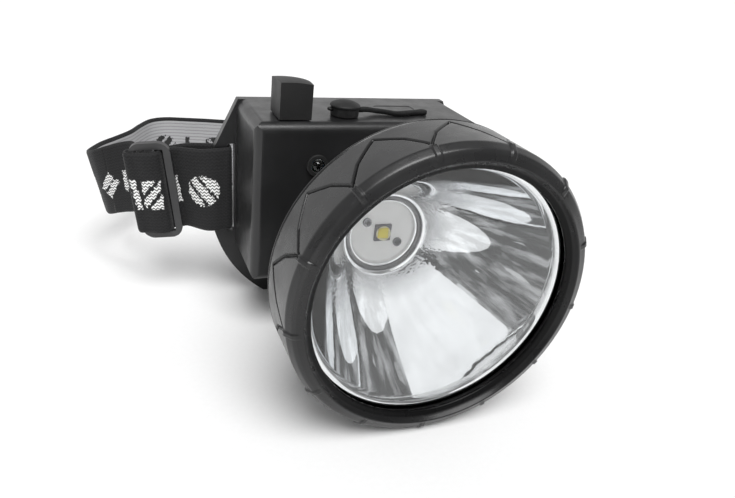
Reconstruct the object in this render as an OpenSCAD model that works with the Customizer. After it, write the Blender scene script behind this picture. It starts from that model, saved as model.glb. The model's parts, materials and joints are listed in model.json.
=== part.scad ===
// Miner's cap lamp: a battery housing with a strap plate behind it, a large reflector head in
// front, a rotary switch and a charging socket on top, and an elastic headband with a slider.
// The origin is the middle of the strap plate's flat lower edge, on which the lamp stands.
// +Z is up, the lamp shines towards -Y, and the wearer's head is on the +Y side.

/* [Housing] */
// Width of the battery housing
box_w = 71; // [70:0.5:76]
// Depth of the battery housing, front to back
box_d = 26; // [26:0.5:32]
// Height of the battery housing
box_h = 50; // [50:0.5:54]
// Thickness of the moulded walls
wall = 2.2; // [1.8:0.1:2.4]
// Rounding of the housing's edges
edge_r = 3; // [1.5:0.5:4]

/* [Strap plate] */
// Thickness of the strap plate
plate_t = 3; // [2.5:0.5:4]
// Radius of the plate's lower edge
plate_r = 44; // [43:0.5:46]
// Width of each strap slot
slot_w = 2.2; // [2:0.1:2.4]
// Height of each strap slot
slot_h = 30; // [29:0.5:32]

/* [Head] */
// Radius of the bezel ring
bezel_r = 40; // [39.5:0.1:40.5]
// Number of grip nubs round the bezel
nub_count = 13; // [9:1:18]
// How far each nub stands out
nub_h = 0.5; // [0.3:0.1:0.8]
// Radius of the reflector's open end
mirror_r = 33; // [32:0.1:33.4]
// Radius of the hole at the reflector's small end
mirror_hole_r = 10; // [9.8:0.1:10.2]
// Radius of the LED circuit board
star_r = 12.5; // [12:0.1:12.6]
// Side of the LED package
led_w = 5; // [3.5:0.1:5.2]

/* [Controls] */
// Width of the switch knob
knob_w = 9.4; // [8.6:0.2:10]
// Depth of the switch knob
knob_d = 10.6; // [9:0.2:11]
// Height of the switch knob
knob_h = 10.4; // [9:0.2:13]
// Radius of the charging socket's dust plug
plug_r = 4.5; // [4.2:0.1:4.8]

/* [Headband] */
// Width of the elastic webbing
band_w = 28; // [25:0.5:29]
// Thickness of the elastic webbing
band_t = 1.2; // [1:0.1:1.3]

/* [Battery] */
// Radius of one cylindrical cell
cell_r = 9.1; // [9:0.05:9.15]
// Length of one cell
cell_l = 65; // [64:0.2:65.2]

/* [Hidden] */
$fn = 96;

// Levels and planes
box_z0 = 18.4;                              // underside of the housing
box_z1 = box_z0 + box_h;                    // top of the housing
mid_z = box_z0 + box_h / 2;
plate_y = plate_t / 2;                      // rear face of the strap plate
face_y = -plate_y - box_d;                  // front face of the housing
axis_z = bezel_r + nub_h;                   // height of the lamp's axis
arc_z = 36.4;                               // centre of the plate's lower arc
slot_x = box_w / 2 + 0.5 + slot_w / 2;      // middle of a strap slot
slot_z = mid_z - 4;
inner_w = box_w - 2 * wall;
inner_h = box_h - 2 * wall;
seal_t = 0.6;
cover_t = 2;
pad_t = 6;
gap = 0.3;                                  // running gap between bodies

// Places of the controls
knob_x = -23.5;
knob_y = face_y + 7.6;
socket_x = -6.9;
socket_y = face_y + 8;
led_x = -16.9;
led_z = mid_z + 12.8;
boss_x = 31.1;
boss_z = mid_z + 20.2;
board_z = mid_z + 15;
board_t = 1.6;
cell_y = face_y + 14.4;
cell_z = [mid_z - 13.2, mid_z + 5.3];
plug_h = 4.5;
stem_l = 4.5;
tether_t = 1.2;
tether_x0 = socket_x + plug_r + gap + 0.2;
tether_x1 = tether_x0 + 21;                 // centre of its anchor
// The tether's centre line bends to the rear, to the front and back again
function tether_y(x) = face_y + 8.7 + 0.9 * cos(360 * (x - 3.4) / 15.9);

// Distances forward of the housing's front face, along the lamp's axis
gasket_t = 0.8;
barrel_floor = 3.8;
sink_d0 = 4.2;
star_d0 = 12.3;
star_d1 = 13.9;
barrel_d1 = 51;
mirror_d1 = 51.9;
lens_d1 = 53.7;
lip_d0 = 54.3;
bezel_d0 = 37.1;
bezel_d1 = 57.3;
barrel_r = bezel_r - 4;                     // where the bezel screws on
screw_ring = 11;
star_screw = [5.2, -3.4];
lead_x = 2.5;

// Reflector: a paraboloid through both of its rims
mirror_4f = (mirror_r * mirror_r - mirror_hole_r * mirror_hole_r) / (mirror_d1 - star_d1);
mirror_steps = 16;
function mirror_rad(d) = sqrt(mirror_hole_r * mirror_hole_r + mirror_4f * (d - star_d1));
function mirror_wall(grow) = [for (i = [0:mirror_steps])
    let (d = star_d1 + (mirror_d1 - star_d1) * pow(i / mirror_steps, 1.6)) [mirror_rad(d) + grow, d]];

// Headband: points on the webbing's centre line, each with how far the webbing's upward
// direction leans along X and Y for each unit of height
slider_at = [-60.3, 4.2, 37.1];
slider_dir = unit([-0.967, 0.231, -0.11]);
slider_out = unit(cross([0, 0, 1], slider_dir));
slider_lean = 4;
slider_up = cross(slider_dir, slider_out) * cos(slider_lean) + slider_out * sin(slider_lean);
slider_l = 13.2;
slider_h = band_w + 5.2;
slider_t = 2;
slider_bar = 2.3;
centre_bar = 2;
function at_slider(u, n) = [each (slider_at + u * slider_dir + n * slider_out),
                            slider_up[0] / slider_up[2], slider_up[1] / slider_up[2]];

// Outer layer: from the left slot over the slider's centre bar and round its outer bar
outer_path = [[-37.1, 0, 39.5, 0, 0], [-37.15, -1.3, 39.5, 0, 0], [-37.9, -2.4, 39.5, 0, 0],
              [-39.6, -2.45, 39.4, 0, 0], [-42.9, -2.5, 39.2, 0, 0],
              [-46.3, -1, 38.7, -0.05, -0.02],
              at_slider(-8.4, -1.9), at_slider(-6.3, -1.95), at_slider(-4.6, -1.85),
              at_slider(-3.5, -1.1), at_slider(-3.08, 0), at_slider(-3.02, 1),
              at_slider(-2.45, 2.45), at_slider(-1, 3.05),
              at_slider(0, 3.12), at_slider(1.6, 2.9), at_slider(3.3, 2.3),
              at_slider(4.8, 1.85), at_slider(6.2, 1.8), at_slider(7.3, 1.3),
              at_slider(7.65, 0), at_slider(7.3, -1.3), at_slider(6.2, -1.8),
              at_slider(4.9, -1.8)];
// Inner layer: from the left slot, behind the plate, through the slider and out behind it
inner_path = [[-37.1, 0.5, 39.5, 0, 0], [-37.15, 1.3, 39.5, 0, 0], [-37.9, 2.4, 39.5, 0, 0],
              [-39.6, 2.45, 39.4, 0, 0], [-42.5, 2.9, 39.2, 0, 0],
              [-46, 5.2, 38.7, -0.04, -0.02], [-50, 6.8, 38.2, -0.08, -0.03],
              at_slider(-5.8, -3.55), at_slider(-4, -3.3), at_slider(-2.75, -2.5),
              at_slider(-2, -1.2), at_slider(-1.74, 0), at_slider(-1.73, 0.9),
              at_slider(-1.51, 1.51), at_slider(-0.9, 1.74), at_slider(0, 1.75),
              at_slider(0.9, 1.74), at_slider(1.51, 1.51), at_slider(1.73, 0.9),
              at_slider(1.74, 0), at_slider(2, -1.1), at_slider(2.8, -2.8),
              at_slider(4.6, -5.2),
              [-66, 16.5, 37, -0.05, -0.2], [-69.4, 20.3, 35.7, -0.06, -0.24],
              [-73.6, 23.5, 33.7, -0.09, -0.28]];
// The rest: round the head, through the right slot and back behind to its sewn end
loop_path = [[-73.9, 23.8, 33.5, -0.1, -0.28], [-77, 28, 31.2, -0.15, -0.3],
             [-78, 35, 29.1, -0.19, -0.3], [-74.3, 43.3, 28.3, -0.15, -0.2],
             [-69.8, 48.7, 28, -0.08, -0.1], [-64.8, 55.3, 27.9, -0.03, -0.04],
             [-61, 62.8, 27.9, 0, 0], [-56.4, 69.8, 27.9, 0, 0], [-50.3, 72.5, 27.9, 0, 0],
             [-42.7, 70.6, 28.2, 0, 0], [-32, 66.2, 28.9, 0, 0], [-15, 60.3, 29.3, 0, 0],
             [8, 55, 29.6, 0, 0], [31, 49.5, 30.2, 0, 0], [50, 40.5, 31.2, 0, 0],
             [61, 29, 33, 0, 0], [61.5, 16.5, 35, 0, 0], [55.4, 6.6, 37, 0, 0],
             [48.3, 0.2, 38.6, 0, 0], [42.9, -2.4, 39.2, 0, 0], [39.6, -2.45, 39.4, 0, 0],
             [37.9, -2.4, 39.5, 0, 0], [37.15, -1.3, 39.5, 0, 0], [37.15, 1.3, 39.5, 0, 0],
             [37.9, 2.4, 39.5, 0, 0], [39.6, 2.45, 39.4, 0, 0], [42.5, 2.9, 39.2, 0, 0],
             [47.6, 3.8, 38.6, 0, 0], [53.2, 8.6, 37.2, 0, 0]];

// A point at t along the smooth curve between points i and i + 1 of a list
function pick(p, i) = p[min(max(i, 0), len(p) - 1)];
function curve(a, b, c, d, t) =
    0.5 * (2 * b + (c - a) * t + (2 * a - 5 * b + 4 * c - d) * t * t
           + (3 * b - a - 3 * c + d) * t * t * t);
function smooth(p, n) = [for (i = [0:len(p) - 2]) for (j = [0:n - 1])
    curve(pick(p, i - 1), p[i], p[i + 1], pick(p, i + 2), j / n), p[len(p) - 1]];
function unit(v) = v / norm(v);
function head_part(q) = [q[0], q[1], q[2]];

// Four corners of the webbing's cross-section at step i of a smooth path
function section(p, i) =
    let (here = head_part(p[i]),
         along = unit(head_part(pick(p, i + 1)) - head_part(pick(p, i - 1))),
         high = unit([p[i][3], p[i][4], 1]) * band_w / 2,
         thick = unit(cross(along, high)) * band_t / 2)
    [here + high + thick, here + high - thick, here - high - thick, here - high + thick];

// Webbing swept along a path: a closed ribbon of constant width and thickness
module ribbon(path, steps) {
    p = smooth(path, steps);
    rings = [for (i = [0:len(p) - 1]) section(p, i)];
    last = 4 * (len(rings) - 1);
    points = [for (r = rings) each r];
    walls = [for (i = [0:len(rings) - 2]) for (j = [0:3])
        let (a = 4 * i + j, b = 4 * i + (j + 1) % 4)
        each [[a, b, b + 4], [a, b + 4, a + 4]]];
    ends = [[2, 1, 0], [3, 2, 0], [last, last + 1, last + 2], [last, last + 2, last + 3]];
    polyhedron(points = points, faces = concat(walls, ends));
}

// Local frame of the head: X right, Y up, Z forward from the housing's front face
module on_axis() translate([0, face_y, axis_z]) rotate([90, 0, 0]) children();

module tube(r_out, r_in, z0, z1) {
    translate([0, 0, z0]) difference() {
        cylinder(r = r_out, h = z1 - z0);
        translate([0, 0, -1]) cylinder(r = r_in, h = z1 - z0 + 2);
    }
}

// Flat rounded rectangle, centred
module rounded(w, h, r) {
    square([w - 2 * r, h], center = true);
    square([w, h - 2 * r], center = true);
    for (x = [-1, 1]) for (y = [-1, 1])
        translate([x * (w / 2 - r), y * (h / 2 - r)]) circle(r = r);
}

// A slab standing in the XZ plane, from plane y0 to plane y1
module upright(y0, y1, z = 0) translate([0, y1, z]) rotate([90, 0, 0])
    linear_extrude(y1 - y0) children();

// Round pin or hole along Y
module pin_y(r, x, z, y0, y1) translate([x, y1, z]) rotate([90, 0, 0]) cylinder(r = r, h = y1 - y0);

// Pan-head screw along the axis of its local frame, head at the top
module screw(r, l, head_r, head_h) {
    translate([0, 0, -l]) cylinder(r = r, h = l);
    difference() {
        cylinder(r = head_r, h = head_h);
        translate([0, 0, head_h - 0.6]) linear_extrude(1) square([head_r * 1.3, 0.5], center = true);
        translate([0, 0, head_h - 0.6]) linear_extrude(1) square([0.5, head_r * 1.3], center = true);
    }
}

module housing_block() {
    back = -plate_y + 0.5;
    intersection() {
        upright(face_y, back, mid_z) rounded(box_w, box_h, edge_r);
        translate([-box_w / 2, 0, 0]) rotate([90, 0, 90]) linear_extrude(box_w)
            translate([face_y + box_d, mid_z]) rounded(2 * box_d, box_h, edge_r);
        translate([0, 0, box_z0]) linear_extrude(box_h)
            translate([0, face_y + box_d]) rounded(box_w, 2 * box_d, edge_r);
    }
}

module plate_outline() {
    top = box_z1 - mid_z;
    translate([0, mid_z]) polygon([[-box_w / 2 + 0.3, top], [-42.9, 9], [-42.6, -18],
                                   [42.6, -18], [42.9, 9], [box_w / 2 - 0.3, top]]);
    intersection() {
        translate([0, arc_z]) circle(r = plate_r);
        translate([-plate_r, 0]) square([2 * plate_r, mid_z - 17.5]);
    }
}

module housing() {
    color("#1d1e20") difference() {
        union() {
            housing_block();
            upright(-plate_y, plate_y) plate_outline();
        }
        difference() {
            upright(face_y + wall, plate_y + 1, mid_z) rounded(inner_w, inner_h, 1.5);
            for (s = [-1, 1]) {
                pin_y(2.4, s * boss_x, boss_z, face_y, plate_y);
                translate([s * (boss_x + 1.4), face_y + box_d / 2, boss_z])
                    cube([2.8, box_d + plate_t, 4.8], center = true);
            }
        }
        for (s = [-1, 1]) {
            pin_y(1.15, s * boss_x, boss_z, face_y + 10, plate_y + 1);
            translate([s * slot_x, 0, slot_z]) cube([slot_w, plate_t + 2, slot_h], center = true);
        }
        // Wire hole and screw holes behind the head
        pin_y(5, 0, axis_z, face_y - 1, face_y + wall + 1);
        for (a = [45:90:315])
            pin_y(1.4, screw_ring * cos(a), axis_z + screw_ring * sin(a), face_y - 1, face_y + wall + 1);
        pin_y(2.2, led_x, led_z, face_y - 1, face_y + wall + 1);
        // Openings and a shallow recess in the top
        translate([knob_x, knob_y, box_z1 - wall - 1]) cylinder(r = 3.25, h = wall + 2);
        translate([socket_x, socket_y, box_z1 - wall - 1]) cylinder(r = 3.6, h = wall + 2);
        translate([tether_x1, tether_y(tether_x1), box_z1 - wall - 1]) cylinder(r = 0.95, h = wall + 2);
        translate([13, face_y + 17, box_z1 - 0.12]) linear_extrude(1) rounded(13, 5, 1.5);
    }
}

module rear_cover() {
    y0 = plate_y + seal_t;
    color("#242527") difference() {
        union() {
            upright(y0, y0 + cover_t, mid_z) rounded(inner_w + 2.6, inner_h + 2.6, 3);
            difference() {
                upright(plate_y - 1.4, y0, mid_z) rounded(inner_w - 0.5, inner_h - 0.5, 1.3);
                upright(plate_y - 3, y0 + 0.1, mid_z) rounded(inner_w - 3.5, inner_h - 3.5, 1);
                for (s = [-1, 1]) translate([s * (boss_x + 1), plate_y, boss_z + 1])
                    cube([9, 8, 8.5], center = true);
            }
        }
        for (s = [-1, 1]) {
            pin_y(1.3, s * boss_x, boss_z, plate_y - 2, y0 + cover_t + 1);
            pin_y(2.3, s * boss_x, boss_z, y0 + cover_t - 0.8, y0 + cover_t + 1);
        }
    }
}

module cover_seal() {
    color("#2c2c2c") difference() {
        upright(plate_y, plate_y + seal_t, mid_z) rounded(inner_w + 2.4, inner_h + 2.4, 3);
        upright(plate_y - 1, plate_y + seal_t + 1, mid_z) rounded(inner_w, inner_h, 1.5);
        for (s = [-1, 1]) pin_y(2.6, s * boss_x, boss_z, plate_y - 1, plate_y + seal_t + 1);
    }
}

module cover_screws() {
    y = plate_y + seal_t + cover_t - 0.8;
    color("silver") for (s = [-1, 1])
        translate([s * boss_x, y, boss_z]) rotate([-90, 0, 0]) screw(1.1, 9, 2.1, 0.8);
}

module forehead_pad() {
    y0 = plate_y + seal_t + cover_t;
    color("#3a3a3c") upright(y0, y0 + pad_t, mid_z - 3) rounded(56, 36, 7);
}

module battery_cells() {
    color("#3f7d58") for (z = cell_z)
        translate([-cell_l / 2, cell_y, z]) rotate([0, 90, 0]) cylinder(r = cell_r, h = cell_l);
}

module cell_holders() {
    color("#e8e4d8") for (x = [-20, 20]) difference() {
        translate([x - 2, cell_y - 10.1, cell_z[0] - 9.4])
            cube([4, 19.4, cell_z[1] - cell_z[0] + 18.9]);
        for (z = cell_z)
            translate([x - 3, cell_y, z]) rotate([0, 90, 0]) cylinder(r = cell_r + 0.05, h = 6);
    }
}

module cell_tabs() {
    color("silver") for (s = [-1, 1])
        translate([s * (cell_l / 2 + 0.15), cell_y, (cell_z[0] + cell_z[1]) / 2])
            cube([0.3, 6, 26], center = true);
}

module circuit_board() {
    color("#2f6b46") translate([-28, face_y + 3.4, board_z]) cube([56, 19, board_t]);
}

module board_components() {
    z = board_z + board_t;
    color("#1b1b1b") {
        translate([6, face_y + 9, z]) cube([6, 5, 1.6]);
        translate([3, face_y + 16, z]) cube([4, 3, 1.2]);
        translate([14, face_y + 5, z]) cube([2, 1.2, 0.8]);
        translate([14, face_y + 8, z]) cube([2, 1.2, 0.8]);
        translate([14, face_y + 11, z]) cube([2, 1.2, 0.8]);
        translate([22, face_y + 9, z]) cylinder(r = 2.5, h = 4.6);
        translate([22, face_y + 17, z]) cylinder(r = 2, h = 4);
    }
}

module switch_body() {
    z = board_z + board_t;
    color("#cfc9b8") difference() {
        translate([knob_x - 4.8, knob_y - 4.5, z]) cube([9.6, 9, box_z1 - wall - 0.2 - z]);
        translate([knob_x, knob_y, z + 2]) cylinder(r = 3.25, h = 8);
    }
}

module switch_shaft() {
    color("#b8b3a4") translate([knob_x, knob_y, board_z + board_t + 2.4])
        cylinder(r = 2.95, h = box_z1 + gap - board_z - board_t - 2.4);
}

// Lever-like knob: flat front, one rear corner swept round in a large arc, slightly domed top
module switch_knob() {
    z0 = box_z1 + gap;
    arc = 7;
    dome = 40;
    color("#17181a") translate([knob_x, knob_y, z0]) intersection() {
        linear_extrude(knob_h) union() {
            translate([-knob_w / 2, -knob_d / 2]) square([knob_w, knob_d - arc]);
            translate([-knob_w / 2, -knob_d / 2]) square([knob_w - arc, knob_d]);
            intersection() {
                translate([knob_w / 2 - arc, knob_d / 2 - arc]) circle(r = arc);
                square([knob_w, knob_d], center = true);
            }
        }
        translate([-2, -2, knob_h - dome]) sphere(r = dome);
    }
}

module charge_socket() {
    z = board_z + board_t;
    color("#8f9296") translate([socket_x, socket_y, z]) difference() {
        union() {
            cylinder(r = 3.3, h = box_z1 - 0.1 - z);
            translate([-3.6, -3.6, 0]) cube([7.2, 7.2, 3]);
        }
        translate([0, 0, 1.5]) cylinder(r = 2.4, h = 12);
    }
}

module socket_pin() {
    color("gold") translate([socket_x, socket_y, board_z + board_t + 1.5]) cylinder(r = 0.55, h = 5);
}

module dust_plug() {
    z0 = box_z1 + 0.1;
    dome = 9;
    color("#202123") translate([socket_x, socket_y, z0]) {
        difference() {
            union() {
                intersection() {
                    cylinder(r = plug_r, h = plug_h);
                    translate([0, 0, plug_h - dome]) sphere(r = dome);
                }
                translate([0, 0, -stem_l]) cylinder(r = 2.1, h = stem_l + 1);
                translate([-plug_r - 0.9, -0.9, 1.4]) cube([2, 1.8, 1]);
            }
            translate([0, 0, -stem_l - 1]) cylinder(r = 0.9, h = stem_l + 1.5);
        }
    }
}

// Flat rubber strip from the plug to its anchor peg, with one gentle bend
module plug_tether() {
    xs = [for (i = [0:14]) tether_x0 + 1.5 * i];
    color("#202123") {
        translate([0, 0, box_z1 + 0.03]) difference() {
            linear_extrude(tether_t) union() {
                polygon([for (x = xs) [x, tether_y(x) - 1.3],
                         for (i = [14:-1:0]) [xs[i], tether_y(xs[i]) + 1.3]]);
                translate([tether_x1, tether_y(tether_x1)]) circle(r = 1.8);
            }
            translate([socket_x, socket_y, -1]) cylinder(r = plug_r + gap, h = 5);
        }
        translate([tether_x1, tether_y(tether_x1), box_z1 - wall]) cylinder(r = 0.9, h = wall + 0.5);
    }
}

module indicator_ring() {
    color("#17181a") translate([led_x, face_y, led_z]) rotate([90, 0, 0]) tube(3.2, 2.1, 0, 1);
}

module indicator_led() {
    color("#b04a44") translate([led_x, face_y, led_z]) rotate([90, 0, 0]) {
        translate([0, 0, -wall - 2]) cylinder(r = 1.9, h = wall + 2.4);
        translate([0, 0, 0.4]) intersection() {
            sphere(r = 1.9);
            cylinder(r = 2, h = 2);
        }
    }
}

module head_barrel() {
    outer = [[15.8, gasket_t], [15.8, 13], [17.5, 17], [22, 23], [26, 29], [28.8, 34],
             [barrel_r - 1, 36.6], [barrel_r, 37.6], [barrel_r, barrel_d1]];
    inside = mirror_wall(1.5);
    color("#1d1e20") on_axis() difference() {
        rotate_extrude() polygon(concat([[0, gasket_t]], outer, [[mirror_rad(barrel_d1) + 1.5, barrel_d1]],
            [for (i = [mirror_steps:-1:0]) if (inside[i][1] < barrel_d1 && inside[i][1] > 15.2) inside[i]],
            [[13, 15.2], [13, barrel_floor], [0, barrel_floor]]));
        translate([0, 0, -1]) cylinder(r = 5, h = 8);
        for (a = [45:90:315])
            translate([screw_ring * cos(a), screw_ring * sin(a), -1]) cylinder(r = 1.15, h = 8);
        translate([0, 0, 43]) tube(barrel_r + 1, barrel_r - 1.4, 0, 1.6);
    }
}

module barrel_gasket() {
    color("#2c2c2c") on_axis() tube(15.8, 13, 0, gasket_t);
}

module barrel_screws() {
    color("silver") for (a = [45:90:315])
        translate([screw_ring * cos(a), face_y + wall, axis_z + screw_ring * sin(a)])
            rotate([-90, 0, 0]) screw(1.1, wall + barrel_floor - 0.2, 2.2, 1.5);
}

module heat_sink() {
    color("#c9ccd0") on_axis() difference() {
        union() {
            translate([0, 0, sink_d0]) cylinder(r = 9, h = star_d0 - sink_d0);
            for (i = [0:2]) translate([0, 0, sink_d0 + 0.2 + i * 2.8]) cylinder(r = 12.7, h = 1.6);
            translate([0, 0, star_d0 - 1.4]) cylinder(r = 12.7, h = 1.4);
        }
        for (s = [-1, 1]) {
            translate([s * star_screw[0], s * star_screw[1], sink_d0 + 2]) cylinder(r = 0.85, h = 10);
            translate([s * lead_x, s * lead_x, 0]) cylinder(r = 0.9, h = 20);
        }
    }
}

module led_board() {
    color("#e9eaec") on_axis() difference() {
        translate([0, 0, star_d0]) cylinder(r = star_r, h = star_d1 - star_d0 - 0.1);
        for (s = [-1, 1])
            translate([s * star_screw[0], s * star_screw[1], star_d0 - 1]) cylinder(r = 0.95, h = 4);
    }
}

module led_board_screws() {
    color("silver") on_axis() for (s = [-1, 1])
        translate([s * star_screw[0], s * star_screw[1], star_d1 - 0.1]) screw(0.8, 5, 1.3, 0.7);
}

module led_package() {
    color("#c8c8c4") on_axis() translate([0, 0, star_d1 - 0.1]) difference() {
        translate([-led_w / 2, -led_w / 2, 0]) cube([led_w, led_w, 0.9]);
        translate([-1.5, -1.5, 0.6]) cube([3, 3, 1]);
    }
}

module led_phosphor() {
    color("#e8d94a") on_axis() translate([-1.4, -1.4, star_d1 + 0.5]) cube([2.8, 2.8, 0.3]);
}

module led_dome() {
    color([0.95, 0.95, 0.9, 0.5]) on_axis() translate([0, 0, star_d1 + 0.8]) intersection() {
        sphere(r = 2.2);
        cylinder(r = 2.3, h = 3);
    }
}

// Two leads from the circuit board down the front wall and through the heat sink
module led_leads() {
    drop_y = face_y + 3.2;
    color("#a03028") for (s = [-1, 1]) {
        z = axis_z + s * lead_x;
        translate([s * lead_x, drop_y, z]) sphere(r = 0.6, $fn = 32);
        translate([s * lead_x, drop_y, z]) cylinder(r = 0.6, h = board_z - z);
        translate([s * lead_x, drop_y, z]) rotate([90, 0, 0]) cylinder(r = 0.6, h = 3.2 + star_d0);
    }
}

module reflector() {
    inside = mirror_wall(0);
    outside = mirror_wall(1);
    rim = [[mirror_r + 2.4, mirror_d1], [mirror_r + 2.4, mirror_d1 - 0.8],
           [mirror_rad(mirror_d1 - 0.8) + 1, mirror_d1 - 0.8]];
    color("#f2f3f5") on_axis() rotate_extrude()
        polygon(concat(inside, rim,
            [for (i = [mirror_steps:-1:0])
                if (outside[i][1] < mirror_d1 - 0.9 && outside[i][1] > 15.2) outside[i]],
            [[star_r, 15.1], [star_r, star_d1]]));
}

module lens() {
    color([0.9, 0.95, 1, 0.3]) on_axis() translate([0, 0, mirror_d1])
        cylinder(r = barrel_r - 0.2, h = lens_d1 - mirror_d1);
}

module lens_gasket() {
    color("#151515") on_axis() tube(barrel_r - 0.2, barrel_r - 1.4, lens_d1, lip_d0 - 0.1);
}

module barrel_o_ring() {
    color("#101010") on_axis() tube(barrel_r, barrel_r - 1.35, 43.1, 44.5);
}

module bezel_ring() {
    lip = barrel_r - 2;
    color("#26272a") on_axis() {
        rotate_extrude() polygon([[barrel_r + gap, bezel_d0], [bezel_r, bezel_d0],
            [bezel_r, 54.3], [bezel_r - 1.1, 56.2], [bezel_r - 3.5, bezel_d1], [lip + 2.2, bezel_d1],
            [lip + 1.7, bezel_d1 - 0.9], [lip + 1, bezel_d1 - 1.5], [lip, bezel_d1 - 2],
            [lip, lip_d0], [barrel_r + gap, lip_d0]]);
        for (k = [0:nub_count - 1]) rotate(270 + 360 * k / nub_count)
            translate([0, 0.6, 0]) rotate([90, 0, 0]) linear_extrude(1.2)
                polygon([[bezel_r - 2, 52.8], [bezel_r + nub_h, 53.3], [bezel_r + nub_h, 54.4],
                         [bezel_r - 0.7, 56.5], [bezel_r - 2.8, bezel_d1], [bezel_r - 3.5, bezel_d1]]);
    }
}

// Three-bar slider in its own frame: X along the webbing, Y across it, Z outwards
module slider_frame() {
    window = (slider_l - 2 * slider_bar - centre_bar) / 2;
    linear_extrude(slider_t, center = true) difference() {
        rounded(slider_l, slider_h, 4);
        for (s = [-1, 1]) translate([s * (centre_bar + window) / 2, 0])
            rounded(window, band_w + 0.8, 0.3);
    }
}

module strap_slider() {
    out = cross(slider_up, slider_dir);
    color("#2a2b2d") multmatrix([[-slider_dir[0], slider_up[0], out[0], slider_at[0]],
                                 [-slider_dir[1], slider_up[1], out[1], slider_at[1]],
                                 [-slider_dir[2], slider_up[2], out[2], slider_at[2]],
                                 [0, 0, 0, 1]]) slider_frame();
}

module headband_outer_run() color("#1c1c1e") ribbon(outer_path, 4);
module headband_inner_run() color("#1c1c1e") ribbon(inner_path, 4);
module headband_loop() color("#1c1c1e") ribbon(loop_path, 4);

housing();
rear_cover();
cover_seal();
cover_screws();
forehead_pad();
battery_cells();
cell_holders();
cell_tabs();
circuit_board();
board_components();
switch_body();
switch_shaft();
switch_knob();
charge_socket();
socket_pin();
dust_plug();
plug_tether();
indicator_ring();
indicator_led();
head_barrel();
barrel_gasket();
barrel_screws();
heat_sink();
led_board();
led_board_screws();
led_package();
led_phosphor();
led_dome();
led_leads();
reflector();
lens();
lens_gasket();
barrel_o_ring();
bezel_ring();
strap_slider();
headband_outer_run();
headband_inner_run();
headband_loop();
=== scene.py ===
import json
import math

import bmesh
import bpy
import numpy as np
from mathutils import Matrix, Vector


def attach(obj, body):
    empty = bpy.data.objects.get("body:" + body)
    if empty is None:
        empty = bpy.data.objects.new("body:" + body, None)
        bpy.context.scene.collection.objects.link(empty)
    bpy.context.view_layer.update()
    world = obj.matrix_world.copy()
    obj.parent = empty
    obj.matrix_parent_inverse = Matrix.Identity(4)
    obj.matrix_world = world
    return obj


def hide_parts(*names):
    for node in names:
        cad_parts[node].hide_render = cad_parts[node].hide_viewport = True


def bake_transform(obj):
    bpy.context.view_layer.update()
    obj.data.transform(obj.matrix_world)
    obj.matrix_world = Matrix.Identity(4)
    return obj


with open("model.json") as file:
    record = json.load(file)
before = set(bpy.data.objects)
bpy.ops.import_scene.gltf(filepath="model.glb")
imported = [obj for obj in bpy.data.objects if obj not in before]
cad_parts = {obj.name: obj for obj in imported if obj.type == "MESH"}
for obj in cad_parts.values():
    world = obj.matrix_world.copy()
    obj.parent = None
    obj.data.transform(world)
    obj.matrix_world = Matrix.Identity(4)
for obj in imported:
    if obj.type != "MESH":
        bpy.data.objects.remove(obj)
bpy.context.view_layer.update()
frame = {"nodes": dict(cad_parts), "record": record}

MM = 0.001
NODES = frame["nodes"]
BODY_OF = {n: b for b, ns in frame["record"]["behaviour"]["bodies"].items() for n in ns}

# The lamp's own frame, in millimetres: its axis runs forward from the housing's front face
AXIS_Z = 40.5
FACE_Y = -27.5
BEZEL_R = 40.0


def at(r, angle, d):
    """A point at a radius and angle round the lamp's axis, d in front of the housing's face, in metres."""
    return Vector((r * math.cos(angle), FACE_Y - d, AXIS_Z + r * math.sin(angle))) * MM


# ---------------------------------------------------------------- camera

def make_camera():
    """A short lens a little above the lamp and to its left."""
    data = bpy.data.cameras.new("camera")
    data.sensor_width = 36
    data.lens = 31.72
    data.shift_x, data.shift_y = 0.0433, 0.0658
    data.clip_start, data.clip_end = 0.01, 50
    cam = bpy.data.objects.new("camera", data)
    cam.location = Vector((-75.5, -200.64, 118.87)) * MM
    cam.rotation_euler = [math.radians(a) for a in (59.59, -5.24, -18.62)]
    bpy.context.scene.collection.objects.link(cam)
    bpy.context.scene.camera = cam


# ---------------------------------------------------------------- shader helpers

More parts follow.
